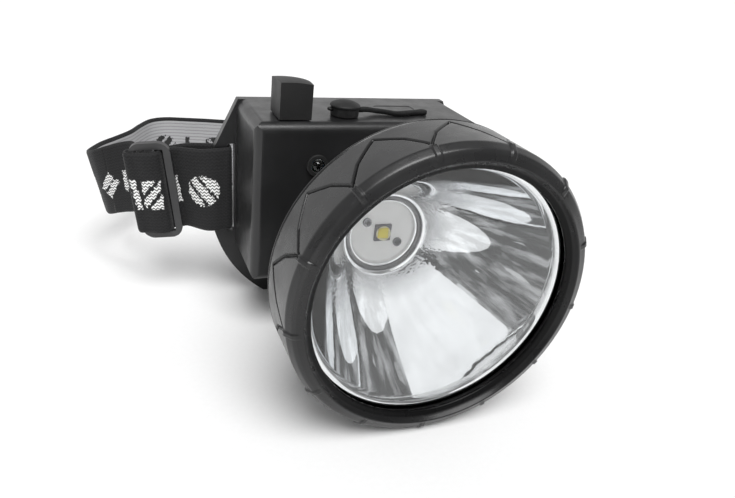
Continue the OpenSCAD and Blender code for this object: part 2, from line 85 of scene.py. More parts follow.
class Tree:
    """A short way to write a material's nodes."""

    def __init__(self, name):
        self.mat = bpy.data.materials.new(name)
        self.mat.use_nodes = True
        self.nt = self.mat.node_tree
        self.nt.nodes.clear()
        self.out = self.add("ShaderNodeOutputMaterial")
        self.shader = self.add("ShaderNodeBsdfPrincipled")
        self.link(self.shader.outputs[0], self.out.inputs["Surface"])

    def add(self, kind, **settings):
        n = self.nt.nodes.new(kind)
        for k, v in settings.items():
            setattr(n, k, v)
        return n

    def link(self, a, b):
        self.nt.links.new(a, b)

    def put(self, value, socket):
        """A number or colour is set on the socket, and an output is linked to it."""
        if isinstance(value, bpy.types.NodeSocket):
            self.link(value, socket)
        elif isinstance(value, (tuple, list)) and len(value) == 3 and socket.type == "RGBA":
            socket.default_value = (*value, 1)
        else:
            socket.default_value = value

    def math(self, op, a, b=0.0):
        n = self.add("ShaderNodeMath", operation=op)
        self.put(a, n.inputs[0])
        self.put(b, n.inputs[1])
        return n.outputs[0]

    def where(self):
        return self.add("ShaderNodeTexCoord").outputs["Object"]

    def parts(self, vector):
        """The three parts of a vector."""
        n = self.add("ShaderNodeSeparateXYZ")
        self.link(vector, n.inputs[0])
        return n.outputs

    def noise(self, scale, detail=2.0, rough=0.5):
        n = self.add("ShaderNodeTexNoise")
        self.link(self.where(), n.inputs["Vector"])
        n.inputs["Scale"].default_value = scale
        n.inputs["Detail"].default_value = detail
        n.inputs["Roughness"].default_value = rough
        return n.outputs["Fac"]

    def pebbles(self, scale):
        n = self.add("ShaderNodeTexVoronoi", feature="SMOOTH_F1")
        self.link(self.where(), n.inputs["Vector"])
        n.inputs["Scale"].default_value = scale
        return n.outputs["Distance"]

    def saw(self, value, wide):
        """How far value is from the middle of its period, from 0 to 0.5 of a period of that width."""
        part = self.math("FRACT", self.math("DIVIDE", value, wide))
        return self.math("ABSOLUTE", self.math("SUBTRACT", part, 0.5))

    def spread(self, value, low, high, lo=0.0, hi=1.0):
        """value's range low to high, as lo to hi, held at its ends."""
        n = self.add("ShaderNodeMapRange")
        for i, v in enumerate((value, low, high, lo, hi)):
            self.put(v, n.inputs[i])
        return n.outputs[0]

    def mix(self, share, a, b):
        n = self.add("ShaderNodeMix", data_type="RGBA")
        self.put(share, n.inputs[0])
        self.put(a, n.inputs[6])
        self.put(b, n.inputs[7])
        return n.outputs[2]

    def bump(self, height, strength, distance, after=None):
        n = self.add("ShaderNodeBump")
        n.inputs["Strength"].default_value = strength
        n.inputs["Distance"].default_value = distance
        self.link(height, n.inputs["Height"])
        if after is not None:
            self.link(after, n.inputs["Normal"])
        return n.outputs[0]

    def attribute(self, name, out="Fac"):
        return self.add("ShaderNodeAttribute", attribute_name=name).outputs[out]

    def set(self, **values):
        for k, v in values.items():
            self.put(v, self.shader.inputs[k.replace("_", " ")])
        return self


def tinted(colour, share, lift=0.0):
    return tuple(c * share + lift for c in colour)


def moulded(name, colour, rough, grain=0.35, shade_label=None):
    """Injection-moulded plastic: a fine sparked grain, a slight unevenness, rubbed and dusty places, and
    painted shade where a point label asks for it.
    """
    t = Tree(name)
    cloud = t.spread(t.noise(45, 3), 0.35, 0.65)
    dust = t.spread(t.noise(900, 4, 0.7), 0.62, 0.8)
    base = t.mix(cloud, tinted(colour, 0.84), tinted(colour, 1.16, 0.002))
    dusty = t.mix(t.math("MULTIPLY", dust, 0.25), base, tinted(colour, 1.6, 0.02))
    rub = t.spread(t.noise(120, 4, 0.65), 0.4, 0.7, rough - 0.05, rough + 0.07)
    fine = t.bump(t.noise(2000, 2, 0.6), grain, 0.00005)
    t.set(Base_Color=dusty, Roughness=rub, Normal=t.bump(t.noise(260, 2), 0.12, 0.0002, fine))
    # painted shade: where the label is high, the colour is darkened and the gloss dimmed
    if shade_label:
        deep = t.attribute(shade_label)
        t.set(Base_Color=t.mix(deep, dusty, tinted(colour, 0.3)),
              Specular_IOR_Level=t.spread(deep, 0.2, 0.8, 0.5, 0.12))
    return t.mat


def rubber(name, colour, rough=0.62, shine=0.4):
    """Soft rubber or thread with a pale bloom in places."""
    t = Tree(name)
    bloom = t.spread(t.noise(320, 5, 0.7), 0.45, 0.75)
    t.set(Base_Color=t.mix(bloom, colour, tinted(colour, 1.9, 0.006)),
          Roughness=t.spread(t.noise(150, 3), 0.3, 0.7, rough - 0.08, rough + 0.1),
          Normal=t.bump(t.noise(2600, 3, 0.6), 0.3, 0.00005), Specular_IOR_Level=shine)
    return t.mat


def metal(name, colour, rough):
    """Plated or turned metal with fine wear."""
    t = Tree(name)
    wear = t.noise(1500, 3, 0.6)
    t.set(Base_Color=t.mix(t.spread(t.noise(200, 3), 0.3, 0.7), tinted(colour, 0.86), colour),
          Roughness=t.spread(wear, 0.3, 0.7, rough * 0.75, rough * 1.3), Metallic=1.0,
          Normal=t.bump(wear, 0.25, 0.00003))
    return t.mat


def gloss(name, colour, rough=0.2, vary=0.1):
    """A smooth painted, printed or wrapped surface."""
    t = Tree(name)
    t.set(Base_Color=t.mix(t.spread(t.noise(300, 3), 0.3, 0.7), tinted(colour, 1 - vary), colour),
          Roughness=t.spread(t.noise(500, 3), 0.3, 0.7, rough * 0.8, rough * 1.3),
          Normal=t.bump(t.noise(700, 2), 0.08, 0.0001))
    return t.mat


def clear(name, colour, rough=0.0, ior=1.46, milk=0.0):
    """Glass or clear resin that lets lamps through, so that what is behind it stays lit."""
    t = Tree(name)
    t.set(Base_Color=colour, Transmission_Weight=1.0 - milk, IOR=ior,
          Roughness=t.spread(t.noise(900, 4, 0.7), 0.55, 0.8, rough, rough + 0.03),
          Normal=t.bump(t.noise(120, 2), 0.01, 0.0001))
    through = t.add("ShaderNodeBsdfTransparent")
    through.inputs[0].default_value = (*tinted(colour, 0.5, 0.5), 1)
    both = t.add("ShaderNodeMixShader")
    t.link(t.add("ShaderNodeLightPath").outputs["Is Shadow Ray"], both.inputs[0])
    t.link(t.shader.outputs[0], both.inputs[1])
    t.link(through.outputs[0], both.inputs[2])
    t.link(both.outputs[0], t.out.inputs["Surface"])
    return t.mat


def package_material():
    """The emitter's ceramic package, dark outside and with a cream well round the phosphor."""
    t = Tree("package_ceramic")
    x, _, z = t.parts(t.where())
    up = t.math("SUBTRACT", z, AXIS_Z * MM)
    off = t.math("SQRT", t.math("ADD", t.math("POWER", x, 2.0), t.math("POWER", up, 2.0)))
    dark = t.mix(t.noise(900, 3), (0.10, 0.095, 0.11), (0.16, 0.155, 0.17))
    t.set(Base_Color=t.mix(t.spread(off, 0.0021, 0.00225), (0.90, 0.87, 0.66), dark),
          Roughness=t.spread(t.noise(700, 3), 0.3, 0.7, 0.25, 0.4),
          Normal=t.bump(t.noise(1500, 2), 0.1, 0.00005))
    return t.mat


def mirror_coat():
    """A metallised mirror with faint moulding ripples, pebbled near the lamp, with painted shade darkening it
    near the lamp and in the valley round the collar.
    """
    t = Tree("mirror_coating")
    near = t.attribute("pebble_and_shade")
    n = t.bump(t.math("MULTIPLY", t.pebbles(1300), near), 0.5, 0.00012)
    n = t.bump(t.noise(160, 2), 0.10, 0.00018, n)
    coat = t.mix(t.spread(t.noise(90, 3), 0.35, 0.65), (0.86, 0.87, 0.88), (0.93, 0.94, 0.95))
    # painted shade: the mirror's colour is darkened in the valley and near the lamp, dimming its reflections
    # there
    mirror_shade = t.math("MAXIMUM", t.attribute("valley_shade"), t.math("MULTIPLY", near, 0.62))
    t.set(Base_Color=t.mix(mirror_shade, coat, (0.16, 0.16, 0.165)), Metallic=1.0,
          Roughness=t.spread(t.noise(600, 4, 0.7), 0.45, 0.8, 0.02, 0.07), Normal=n)
    return t.mat


# ---------------------------------------------------------------- mesh helpers

def piece(name, shape, mat, body=None):
    """A new smooth-shaded object in the row frame from a bmesh or from (points, faces)."""
    mesh = bpy.data.meshes.new(name)
    if isinstance(shape, tuple):
        mesh.from_pydata([tuple(v) for v in shape[0]], [], shape[1])
    else:
        shape.to_mesh(mesh)
        shape.free()
    mesh.materials.append(mat)
    mesh.polygons.foreach_set("use_smooth", [True] * len(mesh.polygons))
    mesh.update()
    obj = bpy.data.objects.new(name, mesh)
    bpy.context.scene.collection.objects.link(obj)
    if body:
        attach(obj, body)
    return obj


def label_points(obj, label, values):
    """A number on each point of a piece, which its material reads."""
    data = obj.data.attributes.new(label, "FLOAT", "POINT").data
    data.foreach_set("value", np.array(values, np.float32))


def even_normals(obj):
    m = obj.modifiers.new("even", "WEIGHTED_NORMAL")
    m.weight = 60
    m.keep_sharp = True


def refined(node, mat, width, segments):
    """A CAD node's shape with its triangles merged and every edge rounded, standing for that node."""
    bm = bmesh.new()
    bm.from_mesh(NODES[node].data)
    bmesh.ops.remove_doubles(bm, verts=bm.verts, dist=2e-6)
    bmesh.ops.dissolve_limit(bm, angle_limit=math.radians(0.6), verts=bm.verts, edges=bm.edges)
    sharp = math.radians(28)
    edges = [e for e in bm.edges if len(e.link_faces) == 2 and e.calc_face_angle(0) > sharp]
    bmesh.ops.bevel(bm, geom=edges, offset=width * MM, offset_type="OFFSET", segments=segments,
                    profile=0.5, affect="EDGES", clamp_overlap=True, loop_slide=True)
    bmesh.ops.recalc_face_normals(bm, faces=bm.faces)
    obj = piece(node + "_skin", bm, mat, BODY_OF[node])
    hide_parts(node)
    even_normals(obj)


def facing_out(points, faces):
    """A bmesh of points and faces with every face turned outwards."""
    mesh = bpy.data.meshes.new("shape")
    mesh.from_pydata([tuple(v) for v in points], [], faces)
    bm = bmesh.new()
    bm.from_mesh(mesh)
    bpy.data.meshes.remove(mesh)
    bmesh.ops.recalc_face_normals(bm, faces=bm.faces)
    return bm


def wheel_faces(turns, n, closed=True):
    """Faces between the copies of a profile of n points turned all the way round."""
    last = n if closed else n - 1
    return [(i * n + k, i * n + (k + 1) % n, (i + 1) % turns * n + (k + 1) % n, (i + 1) % turns * n + k)
            for i in range(turns) for k in range(last)]


def lathe(profile, turns, closed=True):
    """Points and faces of a profile of (radius, distance) pairs turned round the lamp's axis."""
    points = [at(r, 2 * math.pi * i / turns, d) for i in range(turns) for r, d in profile]
    return points, wheel_faces(turns, len(profile), closed)


def tube_faces(count, m):
    """Faces of a closed skin over count rings of m points each, with a cap at each end."""
    sides = [(i * m + k, i * m + (k + 1) % m, (i + 1) * m + (k + 1) % m, (i + 1) * m + k)
             for i in range(count - 1) for k in range(m)]
    return sides + [tuple(range(m - 1, -1, -1)), tuple((count - 1) * m + k for k in range(m))]


def swept(rings):
    """Points and faces of a closed skin over rings of the same number of points."""
    return [q for ring in rings for q in ring], tube_faces(len(rings), len(rings[0]))


def shifted(faces, by):
    return [tuple(v + by for v in f) for f in faces]


def smooth(x):
    """x held between 0 and 1, with a soft start and end."""
    x = min(1, max(0, x))
    return x * x * (3 - 2 * x)


# ---------------------------------------------------------------- reflector

# The paraboloid's radius and distance forward at its small and its large end
MIRROR = dict(r0=10.0, d0=13.9, r1=33.0, d1=51.9)


def mirror_radius(d):
    """The radius of the paraboloid at a distance forward."""
    four_f = (MIRROR["r1"] ** 2 - MIRROR["r0"] ** 2) / (MIRROR["d1"] - MIRROR["d0"])
    return math.sqrt(MIRROR["r0"] ** 2 + four_f * max(0, d - MIRROR["d0"]))


def make_reflector(mat):
    """The mirrored bowl: a collar round the lamp, a paraboloid, a flared rim and a plain back 1 mm behind."""
    steps = 80
    small, large = 16.35, 50.3
    ahead = [small + (large - small) * (i / steps) ** 1.4 for i in range(steps + 1)]
    bowl = [(mirror_radius(d), d) for d in ahead]
    # The small end: a rounded lip round the lamp, a shallow valley and a bead where the bowl begins
    collar = [(11.2, 14.02), (10.05, 14.05), (9.98, 14.3), (10.0, 14.75), (10.1, 15.02), (10.3, 15.16),
              (10.55, 15.16), (10.85, 15.0), (11.2, 14.93), (11.45, 15.0), (11.62, 15.2), (11.75, 15.55),
              (11.92, 15.86), (12.15, 16.06), (12.4, 16.16), (12.6, 16.2)]
    flare = [(32.62, 50.75), (32.82, 51.15), (33.08, 51.48), (33.4, 51.72), (33.8, 51.86), (34.3, 51.9),
             (35.2, 51.9), (35.38, 51.8), (35.4, 51.2), (34.2, 51.1)]
    back = [(mirror_radius(d) + 1, d) for d in np.linspace(50.2, 15.2, 30)]
    obj = piece("reflector_bowl", facing_out(*lathe(collar + bowl + flare + back, 256)), mat, "lamp")
    co = np.array([v.co for v in obj.data.vertices]) / MM
    r = np.hypot(co[:, 0], co[:, 2] - AXIS_Z)
    # The pebble round the lamp, where shade is painted too, and the painted shade in the valley
    for label, start, stop, rise, fall in (
            ("pebble_and_shade", 12.6, 18.5, 0.6, 5.0), ("valley_shade", 10.4, 12.2, 0.2, 0.3)):
        label_points(obj, label, np.clip((r - start) / rise, 0, 1) * np.clip((stop - r) / fall, 0, 1))
    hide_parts("reflector")


def make_led(mat):
    """The emitter's clear silicone dome, its foot sunk into the package so that no faces coincide."""
    turns = 64
    base, shoulder, radius, height = 14.45, 14.77, 2.2, 2.1
    foot = [(1.6, base), (2.1, base + 0.1), (radius, shoulder)]
    angles = np.linspace(0.08, math.pi / 2, 14)[:-1]
    profile = foot + [(radius * math.cos(a), shoulder + height * math.sin(a)) for a in angles]
    points, faces = lathe(profile, turns, closed=False)
    bottom = len(points)
    top = bottom + 1
    points += [at(0, 0, base), at(0, 0, shoulder + height)]
    n = len(profile)
    for i in range(turns):
        j = (i + 1) % turns
        faces += [(bottom, j * n, i * n), (top, i * n + n - 1, j * n + n - 1)]
    obj = piece("led_dome_clear", facing_out(points, faces), mat, "lamp")
    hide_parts("led_dome")


# ---------------------------------------------------------------- bezel

NUBS = 13
PITCH = 360 / NUBS
STEPS_PER_NUB = 104
GROOVE = 0.6
# One pitch of the tread line on the bezel's side: (degrees past the nub, distance forward)
TREAD = [(0.0, 53.2), (0.6, 51.5), (4.6, 46.3), (12.4, 40.4), (15.4, 42.3), (21.9, 46.6), (26.9, 52.0),
         (PITCH, 53.6)]
# The bezel's section as (radius, distance): a flat back, a fine bead and a groove, then the side
BEZEL_BORE, BEZEL_LIP = 36.3, 34.0
BEZEL_BACK = [(BEZEL_BORE, 37.5), (36.5, 37.15), (36.8, 37.1), (39.4, 37.1), (39.75, 37.18), (39.95, 37.38),
              (BEZEL_R, 37.6), (39.95, 37.82), (39.72, 37.98), (39.5, 38.1), (39.5, 38.3), (39.74, 38.42),
              (39.95, 38.54)]
BEZEL_SIDE = [(BEZEL_R, float(d)) for d in np.arange(38.75, 54.1, 0.22)]
# A narrow chamfer, a broad flat front and a step down to the glass
BEZEL_FRONT = [(39.98, 54.3), (39.86, 54.55), (39.65, 54.9), (39.35, 55.4), (39.1, 55.82), (38.93, 56.06),
               (38.75, 56.22), (38.45, 56.36), (37.9, 56.6), (37.2, 56.92), (36.75, 57.16), (36.55, 57.26),
               (36.38, 57.29), (36.24, 57.24), (36.12, 57.1), (35.95, 56.75), (35.7, 56.4), (35.4, 56.08),
               (35.12, 55.86), (35.0, 55.78), (34.6, 55.6), (34.25, 55.45), (34.06, 55.28),
               (BEZEL_LIP, 55.05), (BEZEL_LIP, 54.7), (34.06, 54.45), (34.25, 54.3), (36.1, 54.3),
               (BEZEL_BORE, 54.2), (BEZEL_BORE, 53.8)]
# How much painted shade darkens the front's plastic and dims its gloss at each radius, from the glass
# outwards
PAINTED_SHADE_AT = (35.1, 35.2, 36.2, 36.5, 38.2, 38.5)
PAINTED_SHADE = (1, 0.62, 0.5, 0.34, 0.3, 0)


def groove_depth(turn, d):
    """How deep the tread line cuts, in degrees past a nub and a distance forward, in millimetres."""
    x = math.radians(turn) * BEZEL_R
    best = 1e9
    for shift in (-PITCH, 0, PITCH):
        pts = [(math.radians(a + shift) * BEZEL_R, b) for a, b in TREAD]
        for (ax, ay), (bx, by) in zip(pts, pts[1:]):
            vx, vy = bx - ax, by - ay
            t = max(0, min(1, ((x - ax) * vx + (d - ay) * vy) / (vx * vx + vy * vy)))
            best = min(best, math.hypot(x - ax - t * vx, d - ay - t * vy))
    half_width, flank = 0.5, 0.34
    return GROOVE * smooth((half_width - best) / flank)


def nub_rise(turn, r, d):
    """How far a nub stands out from the bezel's front edge: (along the radius, forward)."""
    half_width, flank, height = 0.84, 0.3, 0.48
    back, tip, inner = 53.0, 57.0, 37.4
    if not (back <= d <= tip and r > inner):
        return 0.0, 0.0
    arc = math.radians(min(turn, PITCH - turn)) * BEZEL_R
    ends = min(1, (d - back) / 0.4) * min(1, (r - inner) / 0.5)
    up = height * smooth((half_width - arc) / flank) * ends
    ahead = 0.6 * min(1, max(0, (d - 54.3) / 2))
    return up * (1 - ahead), up * ahead


def make_bezel(mat):
    """The bezel ring with its tread lines cut in and its nubs raised."""
    turns = NUBS * STEPS_PER_NUB
    profile = BEZEL_BACK + BEZEL_SIDE + BEZEL_FRONT
    n = len(profile)
    first = len(BEZEL_BACK)
    front = first + len(BEZEL_SIDE)
    # One pitch of the ring, as each point's radius, distance and painted shade, within the CAD's outline.
    # Shade is painted into the tread grooves, and over the front towards the glass
    pitch = []
    for i in range(STEPS_PER_NUB):
        turn = PITCH * i / STEPS_PER_NUB
        for k, (r, d) in enumerate(profile):
            cut = groove_depth(turn, d) if first <= k < front + 2 else 0.0
            out, ahead = nub_rise(turn, r, d)
            shade_amount = np.interp(r, PAINTED_SHADE_AT, PAINTED_SHADE) if k >= front else cut / GROOVE
            pitch.append((min(r - cut + out, 40.5), min(d + ahead, 57.3), shade_amount))
    points = [at(r, math.radians(270 + 360 * (k // n) / turns), d)
              for k, (r, d, _) in enumerate(pitch * NUBS)]
    obj = piece("bezel_tread", facing_out(points, wheel_faces(turns, n)), mat, "bezel")
    # the groove label carries this painted shade, for the grooves and the front alike
    label_points(obj, "groove", [shade_amount for _, _, shade_amount in pitch] * NUBS)
    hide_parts("bezel_ring")


# ---------------------------------------------------------------- headband

BAND_W = 28.0
BAND_T = 1.2
# Steps of the curve between two points of a route, and where along the webbing its pattern starts
CURVE_STEPS = 16
PATTERN_START = -11


def unit(v):
    return v / np.linalg.norm(v)


# The slider's middle and its own axes: along the band, out of it and up, with a small lean
SLIDER_AT = np.array([-60.3, 4.2, 37.1])
SLIDER_DIR = unit(np.array([-0.967, 0.231, -0.11]))
SLIDER_OUT = unit(np.cross([0, 0, 1], SLIDER_DIR))
LEAN = math.radians(4)
SLIDER_UP = np.cross(SLIDER_DIR, SLIDER_OUT) * math.cos(LEAN) + SLIDER_OUT * math.sin(LEAN)


def at_slider(u, n):
    """A point of a route, u along the slider from its middle bar and n out of it, with the slider's lean."""
    p = SLIDER_AT + u * SLIDER_DIR + n * SLIDER_OUT
    return [*p, SLIDER_UP[0] / SLIDER_UP[2], SLIDER_UP[1] / SLIDER_UP[2]]


# Points on the webbing's centre line with its leans along X and Y, as in the CAD but for a slight twist in
# the left slot
OUTER = [[-37.1, 0, 39.5, -0.02, 0], [-37.15, -1.3, 39.5, -0.02, 0], [-37.9, -2.4, 39.5, -0.01, 0],
         [-39.6, -2.45, 39.4, 0, 0], [-42.9, -2.5, 39.2, 0, 0], [-46.3, -1, 38.7, -0.05, -0.02]]
OUTER += [at_slider(u, n) for u, n in (
    (-8.4, -1.9), (-6.3, -1.95), (-4.6, -1.85), (-3.5, -1.1), (-3.08, 0), (-3.02, 1), (-2.45, 2.45),
    (-1, 3.05), (0, 3.12), (1.6, 2.9), (3.3, 2.3), (4.8, 1.85), (6.2, 1.8), (7.3, 1.3), (7.65, 0),
    (7.3, -1.3), (6.2, -1.8), (4.9, -1.8))]
INNER = [[-37.1, 0.5, 39.5, -0.02, 0], [-37.15, 1.3, 39.5, -0.02, 0], [-37.9, 2.4, 39.5, -0.01, 0],
         [-39.6, 2.45, 39.4, 0, 0], [-42.5, 2.9, 39.2, 0, 0], [-46, 5.2, 38.7, -0.04, -0.02],
         [-50, 6.8, 38.2, -0.08, -0.03]]
INNER += [at_slider(u, n) for u, n in (
    (-5.8, -3.55), (-4, -3.3), (-2.75, -2.5), (-2, -1.2), (-1.74, 0), (-1.73, 0.9), (-1.51, 1.51),
    (-0.9, 1.74), (0, 1.75), (0.9, 1.74), (1.51, 1.51), (1.73, 0.9), (1.74, 0), (2, -1.1), (2.8, -2.8),
    (4.6, -5.2))]
INNER += [[-66, 16.5, 37, -0.05, -0.2], [-69.4, 20.3, 35.7, -0.06, -0.24], [-73.6, 23.5, 33.7, -0.09, -0.28]]
LOOP = [[-73.9, 23.8, 33.5, -0.1, -0.28], [-77, 28, 31.2, -0.15, -0.3], [-78, 35, 29.1, -0.19, -0.3],
        [-74.3, 43.3, 28.3, -0.15, -0.2], [-69.8, 48.7, 28, -0.08, -0.1], [-64.8, 55.3, 27.9, -0.03, -0.04],
        [-61, 62.8, 27.9, 0, 0], [-56.4, 69.8, 27.9, 0, 0], [-50.3, 72.5, 27.9, 0, 0],
        [-42.7, 70.6, 28.2, 0, 0], [-32, 66.2, 28.9, 0, 0], [-15, 60.3, 29.3, 0, 0], [8, 55, 29.6, 0, 0],
        [31, 49.5, 30.2, 0, 0], [50, 40.5, 31.2, 0, 0], [61, 29, 33, 0, 0], [61.5, 16.5, 35, 0, 0],
        [55.4, 6.6, 37, 0, 0], [48.3, 0.2, 38.6, 0, 0], [42.9, -2.4, 39.2, 0, 0], [39.6, -2.45, 39.4, 0, 0],
        [37.9, -2.4, 39.5, 0, 0], [37.15, -1.3, 39.5, 0, 0], [37.15, 1.3, 39.5, 0, 0],
        [37.9, 2.4, 39.5, 0, 0], [39.6, 2.45, 39.4, 0, 0], [42.5, 2.9, 39.2, 0, 0], [47.6, 3.8, 38.6, 0, 0],
        [53.2, 8.6, 37.2, 0, 0]]


def curve(path):
    """The same smooth curve through the points as the CAD's, with its leans."""
    p = np.array(path, float)
    out = []
    for i in range(len(p) - 1):
        a, b, c, d = p[max(i - 1, 0)], p[i], p[i + 1], p[min(i + 2, len(p) - 1)]
        for t in np.arange(CURVE_STEPS) / CURVE_STEPS:
            out.append(0.5 * (2 * b + (c - a) * t + (2 * a - 5 * b + 4 * c - d) * t * t
                              + (3 * b - a - 3 * c + d) * t ** 3))
    out.append(p[-1])
    return np.array(out)


def resample(line, gap):
    """A line again with even steps of about gap along it, and the distance along it of each."""
    s = np.concatenate([[0], np.cumsum(np.linalg.norm(np.diff(line[:, :3], axis=0), axis=1))])
    n = max(2, round(s[-1] / gap))
    want = np.linspace(0, s[-1], n + 1)
    return np.stack([np.interp(want, s, line[:, k]) for k in range(line.shape[1])], 1), want


def box_gap(x, y, hx, hy):
    """How far a point is outside a box of those half sizes, or inside it if below zero."""
    qx, qy = abs(x) - hx, abs(y) - hy
    return math.hypot(max(qx, 0), max(qy, 0)) + min(max(qx, qy), 0)


def motif(s, v):
    """How far inside the woven pattern a point is, in millimetres: s along the band, v across it."""
    repeat, slit = 105, 0.55
    s = (s + 8) % repeat - 8
    # a disc cut into stripes
    slant = 0.8 * s - 0.6 * v
    shapes = [max(math.hypot(s, v) - 5.2, slit - min(abs(slant - 1.9), abs(slant + 1.7)))]
    # four bars of different heights
    shapes += [box_gap(s - place - 0.08 * v, v, 0.85, half)
               for place, half in ((9.7, 4.6), (25.7, 5.2), (37.5, 4.2), (55.0, 4.6))]
    # a block cut by two slanting slits
    x = s - 20.4
    slant = 0.75 * x + 0.66 * v
    shapes.append(max(box_gap(x, v, 2.9, 4.9), slit - min(abs(slant - 1.5), abs(slant + 1.7))))
    # a diamond cut by a slit
    x = s - 45
    shapes.append(max((abs(x) + 0.85 * abs(v) - 4.6) * 0.76, 0.5 - abs(0.5 * x + 0.87 * v)))
    # a chevron, two short bars and a square cut from corner to corner
    shapes.append(max(abs(abs(v) * 0.75 + s - 65.0) - 1.3, abs(v) - 5.0))
    shapes.append(box_gap(s - 78, abs(v) - 2.9, 2.4, 1.5))
    shapes.append(max(box_gap(s - 90, v, 3.8, 3.8), slit - 0.7 * abs(s - 90 - v)))
    return -min(shapes)


def make_band(name, path, mat, step=0.45, phase=0.0, upto=None, since=0.0, lift=(0.0, 0.0), rim=0.86):
    """A length of webbing: two faces and rounded selvedges, with where each point is on it.

    step is the length of its quads, upto and since are where on the path it ends and starts, phase is where
    the path's start lies in the pattern, lift how far the pattern stands above the middle at each end, and
    rim the share of the width past which the inner face is black too."""
    line, total = resample(curve(path), 0.3)
    upto = total[-1] if upto is None else upto
    line = line[(total >= since - 1e-6) & (total <= upto + 1e-6)]
    line, s = resample(line, step)
    n = len(line)
    pos = line[:, :3]
    across = np.linspace(-1, 1, 33)
    edge_a, edge_b = [(1.0, 0.5), (1.0, -0.5)], [(-1.0, -0.5), (-1.0, 0.5)]
    section = [(v, 1) for v in across] + edge_a + [(v, -1) for v in across[::-1]] + edge_b
    slim, selvedge, lift_length = 0.96, 0.08, 60
    # a piece that starts on the slider thins a little at its far end, to slip inside the next one
    tuck = 0.02 if since else 0.0
    points, inside, place, side = [], [], [], []
    for i in range(n):
        along = unit(pos[min(i + 1, n - 1)] - pos[max(i - 1, 0)])
        high = unit(np.array([line[i, 3], line[i, 4], 1.0]))
        thick = unit(np.cross(along, high))
        here = since + s[i]
        raised = lift[0] + (lift[1] - lift[0]) * min(1, s[i] / lift_length)
        half_t = BAND_T / 2 * (slim - tuck * max(0, i - n + 3))
        for v, face in section:
            h = v * BAND_W / 2
            edge = max(0, abs(v) - 1 + selvedge) / selvedge
            wave = 0.03 * math.sin(here * 0.55 + 4 * v) * math.cos(here * 0.23 + 2 * v) * (1 - edge)
            off = half_t * (1 - 0.5 * edge ** 2) * face + wave * (i < n - 3)
            points.append(Vector(pos[i] + high * h + thick * off) * MM)
            inside.append(motif(here + phase, h - raised))
            place.append((here, h, 0))
            side.append(-face if abs(face) == 1 and abs(v) < rim else 0)
    obj = piece(name, facing_out(points, tube_faces(n, len(section))), mat, None)
    label_points(obj, "motif", inside)
    label_points(obj, "side", side)
    data = obj.data.attributes.new("band", "FLOAT_VECTOR", "POINT").data
    data.foreach_set("vector", np.array(place, np.float32).ravel())
    return obj, float(s[-1])


def thread(points, radius):
    """A smooth strand through points, thinned at both ends, as a list of points and one of faces."""
    p = np.array(points, float)
    n = len(p)
    rings = []
    for i in range(n):
        along = unit(p[min(i + 1, n - 1)] - p[max(i - 1, 0)])
        side = unit(np.cross(along, [0.31, 0.52, 0.79]))
        up = np.cross(side, along)
        r = radius * (0.45 if i in (0, n - 1) else 1)
        rings.append([p[i] + r * (math.cos(a) * side + math.sin(a) * up)
                      for a in np.linspace(0, 2 * math.pi, 6, endpoint=False)])
    return swept(rings)


def make_stitches(name, path, s_at, outward, mat):
    """A zig-zag row of thread sewn across the band at a distance along its path, proud on one side."""
    line, total = resample(curve(path), 0.2)
    i = int(np.argmin(abs(total - s_at)))
    along = unit(line[min(i + 3, len(line) - 1), :3] - line[i - 3, :3])
    high = unit(np.array([line[i, 3], line[i, 4], 1.0]))
    thick = unit(np.cross(along, high)) * outward
    points, faces = [], []
    rows, width = 15, BAND_W - 3
    for k in range(rows):
        start = (k / rows - 0.5) * width
        length = 0.86 / rows * width
        lean = 1.28 if k % 2 else -1.28
        strand = []
        for t in np.linspace(0, 1, 6):
            rise = BAND_T / 2 - 0.12 + 0.26 * math.sin(math.pi * t)
            place = line[i, :3] + high * (start + length * t) + along * lean * (t - 0.5)
            strand.append(place + thick * rise)
        more, quads = thread(strand, 0.16)
        faces += shifted(quads, len(points))
        points += more
    return piece(name, ([Vector(q) * MM for q in points], faces), mat, None)


# ---------------------------------------------------------------- rubber tether and rear pad

PLUG_X, PLUG_Y, TOP_Z = -6.9, -19.5, 68.4
TETHER_X0, TETHER_X1 = -1.9, 19.1


def tether_y(x):
    """The tether's gentle S on the housing's top."""
    return FACE_Y + 8.7 + 0.9 * math.cos(math.radians(360 * (x - 3.4) / 15.9))


def make_tether(mat):
    """A flat rubber strip that leaves the plug's flank, sinks onto the housing and ends in a rounded tab."""
    rise_x = (-1.0, 1.0, 3.0, 5.5, 8.5, 11.5)
    rise_z = (1.75, 1.7, 1.5, 1.15, 0.85, 0.72)
    length, tab_r = TETHER_X1 - TETHER_X0, 1.8
    rings = []
    for x in np.linspace(-1.0, length + 1.78, 64):
        y = tether_y(TETHER_X0 + max(x, 0.5))
        z = TOP_Z + np.interp(x, rise_x, rise_z) + 0.05 * math.sin(x * 0.9)
        tab = (x - length) / tab_r
        wide = 1.3 + 0.5 * max(0, 1 - (length - x) / 3.2) ** 2
        if tab > 0:
            wide = tab_r * math.sqrt(max(0.02, 1 - tab * tab))
        high = 0.64 * (0.8 if tab > 0.9 else 1)
        ring = []
        for a in np.linspace(0, 2 * math.pi, 20, endpoint=False):
            c, d = math.cos(a), math.sin(a)
            ring.append(Vector((TETHER_X0 + x, y + math.copysign(wide * abs(c) ** 0.55, c),
                                z + math.copysign(high * abs(d) ** 0.55, d))) * MM)
        rings.append(ring)
    obj = piece("tether_strip", swept(rings), mat, None)
    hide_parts("plug_tether")
    return obj


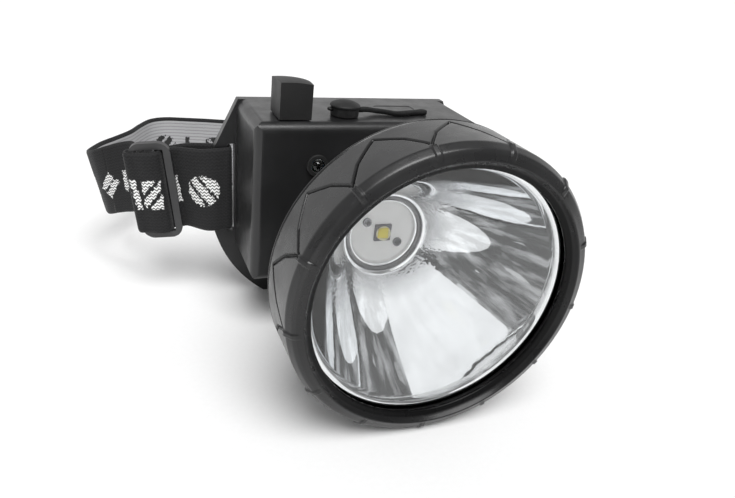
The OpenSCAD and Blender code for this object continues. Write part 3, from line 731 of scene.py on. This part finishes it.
def make_plug(mat):
    """The charging socket's plug: a stem, a drawn-in wall, a proud rim, a low dome and a finger tab."""
    foot = TOP_Z + 0.1
    profile = [(0.4, -4.4), (1.8, -4.4), (2.1, -4.1), (2.1, 0.0), (3.9, 0.0), (4.15, 0.12), (4.22, 0.4),
               (4.2, 2.2), (4.24, 2.55), (4.4, 2.72), (4.5, 2.9), (4.5, 3.12), (4.42, 3.3), (4.2, 3.44)]
    dome_r, dome_top = 9, 4.5
    profile += [(r, dome_top - dome_r + math.sqrt(dome_r ** 2 - r * r)) for r in np.linspace(3.9, 0.3, 10)]
    rings = [[Vector((PLUG_X + r * math.cos(a), PLUG_Y + r * math.sin(a), foot + z)) * MM
              for a in np.linspace(0, 2 * math.pi, 96, endpoint=False)] for r, z in profile]
    points, faces = swept(rings)
    outline = ((1, 0.3), (1, -0.3), (0.7, -1), (-0.7, -1), (-1, -0.3), (-1, 0.3), (-0.7, 1), (0.7, 1))
    tab = [[Vector((PLUG_X - x, PLUG_Y + w * c, foot + 1.95 + h * d)) * MM for c, d in outline]
           for x, w, h in ((3.6, 0.9, 0.45), (4.8, 0.88, 0.45), (5.2, 0.7, 0.4), (5.38, 0.4, 0.25))]
    more, quads = swept(tab)
    obj = piece("dust_plug_body", facing_out(points + more, faces + shifted(quads, len(points))), mat, "plug")
    even_normals(obj)
    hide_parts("dust_plug")


def pad_point(u, v):
    """A point of the pad's front at u, v from -1 to 1, as x, its height off the cover and z."""
    w, h, r = 28.0, 18.0, 7.0
    hem, seam_x, border, crown_h = 2.6, 9.4, 3.4, 3.3
    x, z = w * u, h * v
    inset = min(w - abs(x), h - abs(z))
    if abs(x) > w - r and abs(z) > h - r:
        # the square corner is drawn in to a round one
        cx, cz = (abs(x) - w + r) / r, (abs(z) - h + r) / r
        mx, mz = cx * math.sqrt(1 - cz * cz / 2), cz * math.sqrt(1 - cx * cx / 2)
        x, z = math.copysign(w - r + r * mx, x), math.copysign(h - r + r * mz, z)
        inset = r * (1 - math.hypot(mx, mz))
    pinch = min(abs(abs(x) - seam_x), abs(inset - border))
    if inset > border:
        high = hem + crown_h * (1 - math.exp(-pinch / 1.9))
        high += 0.10 * math.sin(x * 0.9 + 0.4 * z) * math.sin(z * 0.55) * min(1, pinch / 3)
    else:
        high = hem * math.sqrt(max(0, 1 - (1 - min(1, inset / 1.6)) ** 2))
    groove = 0.55 * math.exp(-((inset - border) / 0.35) ** 2)
    return x, max(0.05, high - groove), z


def make_pad(mat):
    """A foam pad in a sewn cover: crowned panels between two channels, and a bound edge."""
    nx, nz, back, middle = 113, 73, 4.14, 40.4
    front = [pad_point(2 * i / (nx - 1) - 1, 2 * j / (nz - 1) - 1) for j in range(nz) for i in range(nx)]
    count = len(front)
    points = [Vector((x, back + high, middle + z)) * MM for x, high, z in front]
    points += [Vector((x, back, middle + z)) * MM for x, _, z in front]
    faces = []
    for j in range(nz - 1):
        for i in range(nx - 1):
            a, b, c, d = j * nx + i, j * nx + i + 1, (j + 1) * nx + i + 1, (j + 1) * nx + i
            faces += [(a, b, c, d), (d + count, c + count, b + count, a + count)]
    ring = list(range(nx)) + [j * nx + nx - 1 for j in range(1, nz)]
    ring += [(nz - 1) * nx + i for i in range(nx - 2, -1, -1)] + [j * nx for j in range(nz - 2, 0, -1)]
    for a, b in zip(ring, ring[1:] + ring[:1]):
        faces.append((b, a, a + count, b + count))
    obj = piece("rear_pad_cushion", facing_out(points, faces), mat, "lamp")
    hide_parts("forehead_pad")


def pad_material():
    """Brushed knit over foam: a fine diagonal rib, a rubbed pile and a soft sheen."""
    t = Tree("pad_fabric")
    x, _, z = t.parts(t.where())
    rib = t.saw(t.math("ADD", x, z), MM / 0.9)
    cross = t.saw(t.math("SUBTRACT", x, z), MM / 0.9)
    pile = t.noise(1800, 4, 0.7)
    height = t.math("ADD", t.math("MULTIPLY", rib, cross), t.math("MULTIPLY", pile, 0.3))
    t.set(Base_Color=t.mix(t.spread(pile, 0.3, 0.7), (0.016, 0.016, 0.018), (0.045, 0.045, 0.048)),
          Roughness=t.spread(pile, 0.3, 0.7, 0.85, 0.97), Sheen_Weight=0.25, Sheen_Roughness=0.5,
          Specular_IOR_Level=0.2, Normal=t.bump(height, 0.6, 0.0002))
    return t.mat


def webbing_material():
    """Knitted elastic: zig-zag ribs along the band, black outside with a white pattern, and pale inside."""
    t = Tree("webbing")
    s, v, _ = t.parts(t.attribute("band", "Vector"))
    rib, stitch_length = 1.1, 0.62
    fuzz = t.noise(2600, 3, 0.7)
    loose = t.math("MULTIPLY", t.math("SUBTRACT", t.noise(700, 2), 0.5), 0.5)
    # the ribs are bent into a zig-zag that turns at every stitch
    bend = t.math("MULTIPLY", t.saw(s, 2 * stitch_length), 1.1)
    count = t.math("ADD", t.math("DIVIDE", v, rib), t.math("ADD", bend, loose))
    groove = t.saw(count, 1.0)
    rows = t.saw(s, stitch_length)
    # each stitch is wholly in or out of the pattern, which leaves its outline ragged
    stitch = t.add("ShaderNodeCombineXYZ")
    t.link(t.math("FLOOR", t.math("DIVIDE", s, stitch_length)), stitch.inputs[0])
    t.link(t.math("FLOOR", count), stitch.inputs[1])
    chance = t.add("ShaderNodeTexWhiteNoise", noise_dimensions="2D")
    t.link(stitch.outputs[0], chance.inputs["Vector"])
    ragged = t.math("MULTIPLY", t.math("SUBTRACT", chance.outputs[0], 0.5), 0.6)
    ragged = t.math("ADD", ragged, t.math("MULTIPLY", t.math("SUBTRACT", fuzz, 0.5), 0.5))
    inside = t.spread(t.math("ADD", t.attribute("motif"), ragged), -0.05, 0.10)
    side = t.attribute("side")
    # painted shade: the black is darker in the rib valleys, and lighter where the fuzz is
    fuzz_and_rib_shade = t.spread(t.math("ADD", fuzz, t.math("MULTIPLY", groove, -0.5)), 0.1, 0.6)
    black = t.mix(fuzz_and_rib_shade, (0.010, 0.010, 0.0105), (0.028, 0.028, 0.029))
    white = t.mix(t.spread(groove, 0.24, 0.40), (0.93, 0.93, 0.92), (0.035, 0.035, 0.035))
    plain = t.saw(t.math("ADD", t.math("DIVIDE", v, 1.3), t.math("MULTIPLY", loose, 0.6)), 1.0)
    pale = t.mix(t.spread(plain, 0.25, 0.48), (0.50, 0.50, 0.51), (0.31, 0.31, 0.32))
    outer = t.mix(inside, black, white)
    inner = t.mix(inside, pale, t.mix(fuzz, (0.02, 0.02, 0.02), (0.06, 0.06, 0.06)))
    colour = t.mix(t.spread(side, 0.4, 0.6), t.mix(t.spread(side, -0.4, -0.6), black, inner), outer)
    height = t.math("ADD", t.math("MULTIPLY", groove, -1.0), t.math("MULTIPLY", rows, -0.35))
    height = t.math("ADD", height, t.math("MULTIPLY", fuzz, 0.5))
    t.set(Base_Color=colour, Roughness=t.spread(fuzz, 0.3, 0.7, 0.78, 0.95), Specular_IOR_Level=0.25,
          Normal=t.bump(height, 0.7, 0.00016), Sheen_Weight=0.12, Sheen_Roughness=0.4)
    return t.mat


# ---------------------------------------------------------------- stage

def make_stage():
    """A floor of plain white paper."""
    t = Tree("floor_paper")
    fibre = t.noise(700, 4, 0.6)
    t.set(Base_Color=t.mix(t.spread(fibre, 0.3, 0.7), (0.86, 0.86, 0.86), (0.88, 0.88, 0.88)),
          Roughness=t.spread(t.noise(30, 3), 0.3, 0.7, 0.7, 0.85), Normal=t.bump(fibre, 0.05, 0.0002),
          Specular_IOR_Level=0.2)
    half = 6.0
    corners = [Vector((x * half, y * half, 0)) for x, y in ((-1, -1), (1, -1), (1, 1), (-1, 1))]
    piece("floor", (corners, [(0, 1, 2, 3)]), t.mat)


def make_world():
    """A white sweep behind and below, and a dim room in front with bright things here and there."""
    world = bpy.data.worlds.new("studio")
    world.use_nodes = True
    nt = world.node_tree
    nt.nodes.clear()

    def node(kind, *inputs, **settings):
        """A node with its first inputs set or linked."""
        n = nt.nodes.new(kind)
        for k, v in settings.items():
            setattr(n, k, v)
        for socket, v in zip(n.inputs, inputs):
            if isinstance(v, bpy.types.NodeSocket):
                nt.links.new(v, socket)
            elif v is not None:
                socket.default_value = v
        return n

    def spread(*inputs):
        return node("ShaderNodeMapRange", *inputs).outputs[0]

    def mixed(share, a, b):
        return node("ShaderNodeMix", share, None, a, b).outputs[0]

    way = node("ShaderNodeTexCoord").outputs["Generated"]
    part = node("ShaderNodeSeparateXYZ", way).outputs
    back = spread(part[1], -0.05, 0.3, 0.0, 1.0)
    low = spread(part[2], 0.60, 0.82, 1.0, 0.0)
    sweep = node("ShaderNodeMath", back, low, operation="MULTIPLY").outputs[0]
    haze = spread(node("ShaderNodeTexNoise", way, None, 3.6, 6.0, 0.62).outputs[0], 0.46, 0.66, 0.13, 0.8)
    # hard-edged things, each of its own brightness
    things = node("ShaderNodeTexVoronoi", way, None, 5.5, distance="CHEBYCHEV").outputs
    bright = spread(node("ShaderNodeSeparateXYZ", things["Color"]).outputs[0], 0.50, 0.95, 0.25, 1.0)
    core = spread(things["Distance"], 0.27, 0.29, 1.0, 0.0)
    lit = node("ShaderNodeMath", bright, core, operation="MULTIPLY").outputs[0]
    room = node("ShaderNodeMath", haze, lit, operation="MAXIMUM").outputs[0]
    # what the camera sees past the floor is plain white
    seen = node("ShaderNodeLightPath").outputs["Is Camera Ray"]
    level = mixed(seen, mixed(sweep, room, 1.02), 2.0)
    node("ShaderNodeOutputWorld", node("ShaderNodeBackground", None, level).outputs[0])
    bpy.context.scene.world = world


def make_sun(name, energy, angle, way):
    data = bpy.data.lights.new(name, "SUN")
    data.energy = energy
    data.angle = math.radians(angle)
    lamp = bpy.data.objects.new(name, data)
    lamp.matrix_world = Vector(way).to_track_quat("Z", "Y").to_matrix().to_4x4()
    bpy.context.scene.collection.objects.link(lamp)
    return lamp


def make_light():
    """The studio's world, a wide soft lamp overhead and a weak fill."""
    make_world()
    # The fill comes from the front and reaches the bottom of the bowl, but isn't mirrored
    make_sun("fill", 0.45, 50, (-0.25, -1.0, 0.30)).visible_glossy = False
    lamp = make_sun("overhead", 3.0, 42, (-0.04, -0.50, 1.0))
    # The lamp is kept out of the mirror and its glass, as a flag on a stand would do
    flag = bpy.data.collections.new("flagged")
    flag.objects.link(bpy.data.objects["reflector_bowl"])
    flag.objects.link(NODES["lens"])
    lamp.light_linking.receiver_collection = flag
    for held in flag.collection_objects:
        held.light_linking.link_state = "EXCLUDE"
    view = bpy.context.scene.view_settings
    view.view_transform = "Standard"
    view.exposure = 0.0


# ---------------------------------------------------------------- build

def assign(node, mat):
    for s in NODES[node].material_slots:
        s.link = "OBJECT"
        s.material = mat
    if not NODES[node].material_slots:
        NODES[node].data.materials.append(mat)


make_camera()
make_stage()

housing_mat = moulded("housing_plastic", (0.0145, 0.0145, 0.015), 0.33, grain=0.3)
bezel_mat = moulded("bezel_plastic", (0.015, 0.015, 0.0155), 0.30, grain=0.25, shade_label="groove")
knob_mat = moulded("knob_plastic", (0.013, 0.013, 0.0132), 0.55, grain=0.5)
slider_mat = moulded("slider_plastic", (0.038, 0.038, 0.039), 0.40)
barrel_mat = moulded("barrel_plastic", (0.012, 0.012, 0.0125), 0.38)
plug_mat = rubber("plug_rubber", (0.009, 0.009, 0.0092))
seal_mat = rubber("seal_rubber", (0.005, 0.005, 0.005), 0.7)
steel_mat = metal("screw_steel", (0.52, 0.53, 0.55), 0.3)
web_mat = webbing_material()
thread_mat = rubber("sewing_thread", (0.02, 0.02, 0.02), 0.8)

for node, mat, width, segments in (
        ("housing", housing_mat, 0.35, 3), ("rear_cover", housing_mat, 0.4, 3),
        ("switch_knob", knob_mat, 1.0, 5), ("strap_slider", slider_mat, 0.6, 4),
        ("head_barrel", barrel_mat, 0.25, 3), ("indicator_ring", knob_mat, 0.15, 3)):
    refined(node, mat, width, segments)
make_reflector(mirror_coat())
make_bezel(bezel_mat)
make_led(clear("dome_silicone", (1.0, 0.98, 0.86), 0.0, 1.12, milk=0.10))
make_pad(pad_material())
make_plug(plug_mat)
tether = make_tether(rubber("tether_rubber", (0.007, 0.007, 0.0072), 0.7, 0.16))
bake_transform(tether)

# The inner run is in two pieces, which meet on the slider's middle bar. The loop carries on where the run
# ends, and the run's second piece reaches a little way into it, so that no gap shows between them
inner_line, inner_s = resample(curve(INNER), 0.3)
middle = np.array(at_slider(0, 1.75)[:3])
MID = float(inner_s[np.argmin(np.linalg.norm(inner_line[:, :3] - middle, axis=1))])
INNER_END = float(inner_s[-1]) + 0.3
REACH = [[-74.1, 24.06, 33.36, -0.1, -0.28]]
outer, outer_len = make_band("strap_outer_run", OUTER, web_mat, phase=PATTERN_START)
inner_a, inner_a_len = make_band("strap_inner_run_a", INNER, web_mat, phase=PATTERN_START, upto=MID)
inner_b, inner_b_len = make_band("strap_inner_run_b", INNER + REACH, web_mat, phase=PATTERN_START, since=MID,
                                 lift=(0.0, -2.0))
loop, loop_len = make_band("strap_loop", LOOP, web_mat, 0.7, phase=INNER_END + PATTERN_START,
                           lift=(-2.0, 1.6), rim=0.93)
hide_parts("headband_outer_run")
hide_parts("headband_inner_run")
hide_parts("headband_inner_run")
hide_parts("headband_loop")
tab_stitches = make_stitches("stitches_right_end", LOOP, loop_len - 4, -1, thread_mat)
fold_stitches = make_stitches("stitches_fold", OUTER, outer_len - 3.2, -1, thread_mat)

for run in (outer, fold_stitches):
    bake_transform(run)
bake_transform(inner_a)
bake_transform(inner_b)
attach(loop, "lamp")
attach(tab_stitches, "lamp")

for node, mat in {
        "lens": clear("lens_glass", (0.985, 0.99, 0.99)), "lens_gasket": seal_mat, "barrel_o_ring": seal_mat,
        "barrel_gasket": seal_mat, "cover_seal": seal_mat, "cover_screws": steel_mat,
        "barrel_screws": steel_mat, "switch_shaft": steel_mat,
        "led_board_screws": metal("dark_screw", (0.20, 0.20, 0.21), 0.14),
        "heat_sink": metal("sink_aluminium", (0.78, 0.79, 0.8), 0.3),
        "led_board": gloss("board_white", (0.96, 0.96, 0.95), 0.4, vary=0.05),
        "led_package": package_material(),
        "led_phosphor": gloss("phosphor", (0.93, 0.80, 0.06), 0.45),
        "led_leads": rubber("wire_insulation", (0.35, 0.02, 0.02)),
        "indicator_led": clear("indicator_lens", (0.6, 0.62, 0.62), 0.05),
        "battery_cells": gloss("cell_wrap", (0.05, 0.16, 0.36)),
        "cell_holders": moulded("holder_plastic", (0.03, 0.03, 0.03), 0.5),
        "cell_tabs": metal("nickel_strip", (0.66, 0.65, 0.6), 0.3),
        "circuit_board": gloss("board_green", (0.02, 0.12, 0.06), 0.25),
        "board_components": gloss("component_black", (0.02, 0.02, 0.022), 0.4),
        "switch_body": gloss("switch_case", (0.02, 0.02, 0.022), 0.4),
        "charge_socket": metal("socket_metal", (0.7, 0.7, 0.7), 0.2),
        "socket_pin": metal("socket_pin_brass", (0.75, 0.6, 0.3), 0.2)}.items():
    assign(node, mat)

make_light()
